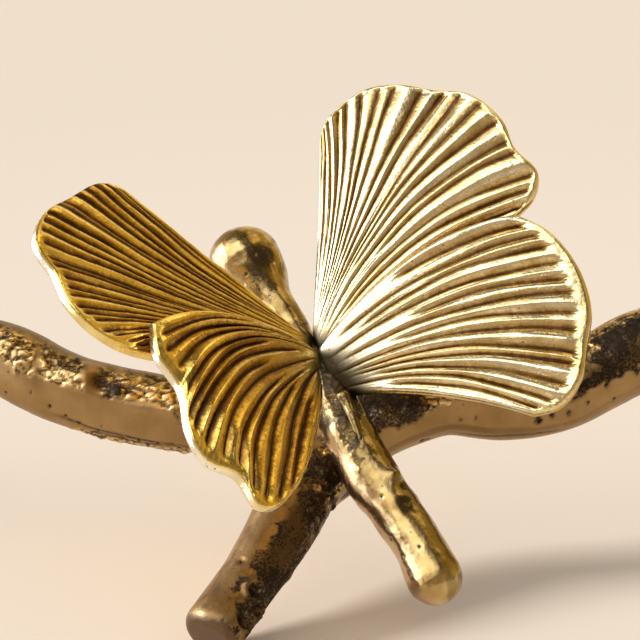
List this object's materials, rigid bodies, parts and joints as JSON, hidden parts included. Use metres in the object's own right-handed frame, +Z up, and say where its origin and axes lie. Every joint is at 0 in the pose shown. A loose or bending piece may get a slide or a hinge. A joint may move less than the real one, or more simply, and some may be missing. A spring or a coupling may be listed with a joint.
{
  "type": "cast brass ginkgo leaf butterfly ornament",
  "caption": "Free-standing cast ornament: ribbed ginkgo leaves spread like butterfly wings on a twig that rests across a forked branch on three feet.",
  "frame": {"origin": "on the resting surface, under the middle of the object's box", "axes": "+Z up; +X to the right along the branch's two arms; +Y away from the front foot, towards the two rear feet"},
  "size_m": [0.271, 0.1041, 0.1079],
  "materials": {
    "leaf_brass": "polished on the rib crests and rims, olive-brown patina left in the grooves",
    "twig_brass": "glossy hand-polished brass over a dark brown patina",
    "branch_bronze": "satin brown patinated brass, smooth below and hammered like bark above"
  },
  "bodies": {
    "root": {"branch": "branch_bronze", "twig": "twig_brass", "leaf_stalk": "twig_brass", "right_rear_lobe": "leaf_brass", "right_front_lobe": "leaf_brass", "left_rear_lobe": "leaf_brass", "left_front_lobe": "leaf_brass"}
  },
  "joints": []
}
